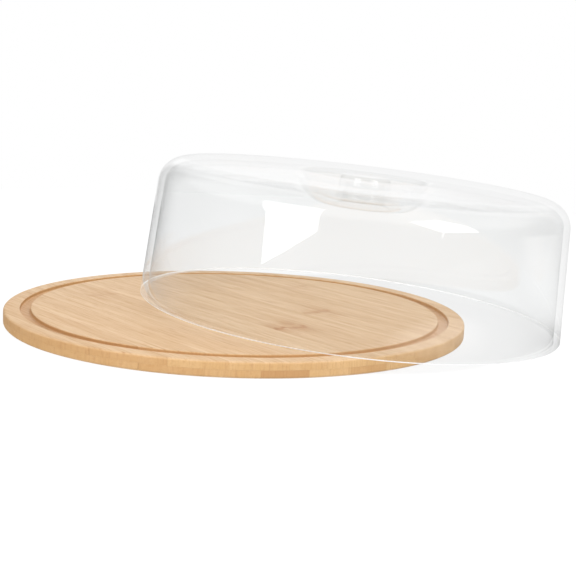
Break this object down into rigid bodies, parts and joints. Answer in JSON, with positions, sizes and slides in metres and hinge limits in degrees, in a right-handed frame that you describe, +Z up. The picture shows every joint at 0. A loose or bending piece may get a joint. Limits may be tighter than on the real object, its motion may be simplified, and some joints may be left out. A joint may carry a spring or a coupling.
{
  "type": "cheese dome",
  "caption": "Round laminated bamboo cheese board with a ring groove, and a clear moulded cover with a sunken finger knob, set down leaning half off the board.",
  "frame": {"origin": "centre of the board's flat underside, on the table", "axes": "+Z up; +X from the board's centre the way the cover leans, down to the side of its rim that stands on the table; the view of the picture looks along about +Y"},
  "size_m": [0.3637, 0.3, 0.1075],
  "materials": {
    "bamboo": "smooth sanded bamboo, lightly oiled",
    "clear_plastic": "clear, polished"
  },
  "bodies": {
    "board": {"lower_strip_01": "bamboo", "lower_strip_02": "bamboo", "lower_strip_03": "bamboo", "lower_strip_04": "bamboo", "lower_strip_05": "bamboo", "lower_strip_06": "bamboo", "lower_strip_07": "bamboo", "lower_strip_08": "bamboo", "lower_strip_09": "bamboo", "lower_strip_10": "bamboo", "lower_strip_11": "bamboo", "lower_strip_12": "bamboo", "lower_strip_13": "bamboo", "upper_strip_01": "bamboo", "upper_strip_02": "bamboo", "upper_strip_03": "bamboo", "upper_strip_04": "bamboo", "upper_strip_05": "bamboo", "upper_strip_06": "bamboo", "upper_strip_07": "bamboo", "upper_strip_08": "bamboo", "upper_strip_09": "bamboo", "upper_strip_10": "bamboo", "upper_strip_11": "bamboo", "upper_strip_12": "bamboo", "upper_strip_13": "bamboo"},
    "cover": {"cover": "clear_plastic"}
  },
  "joints": [
    {"name": "cover_lift", "type": "slide", "parent": "board", "child": "cover", "axis": [0, 0, 1], "range_m": [0, 0.2]}
  ]
}
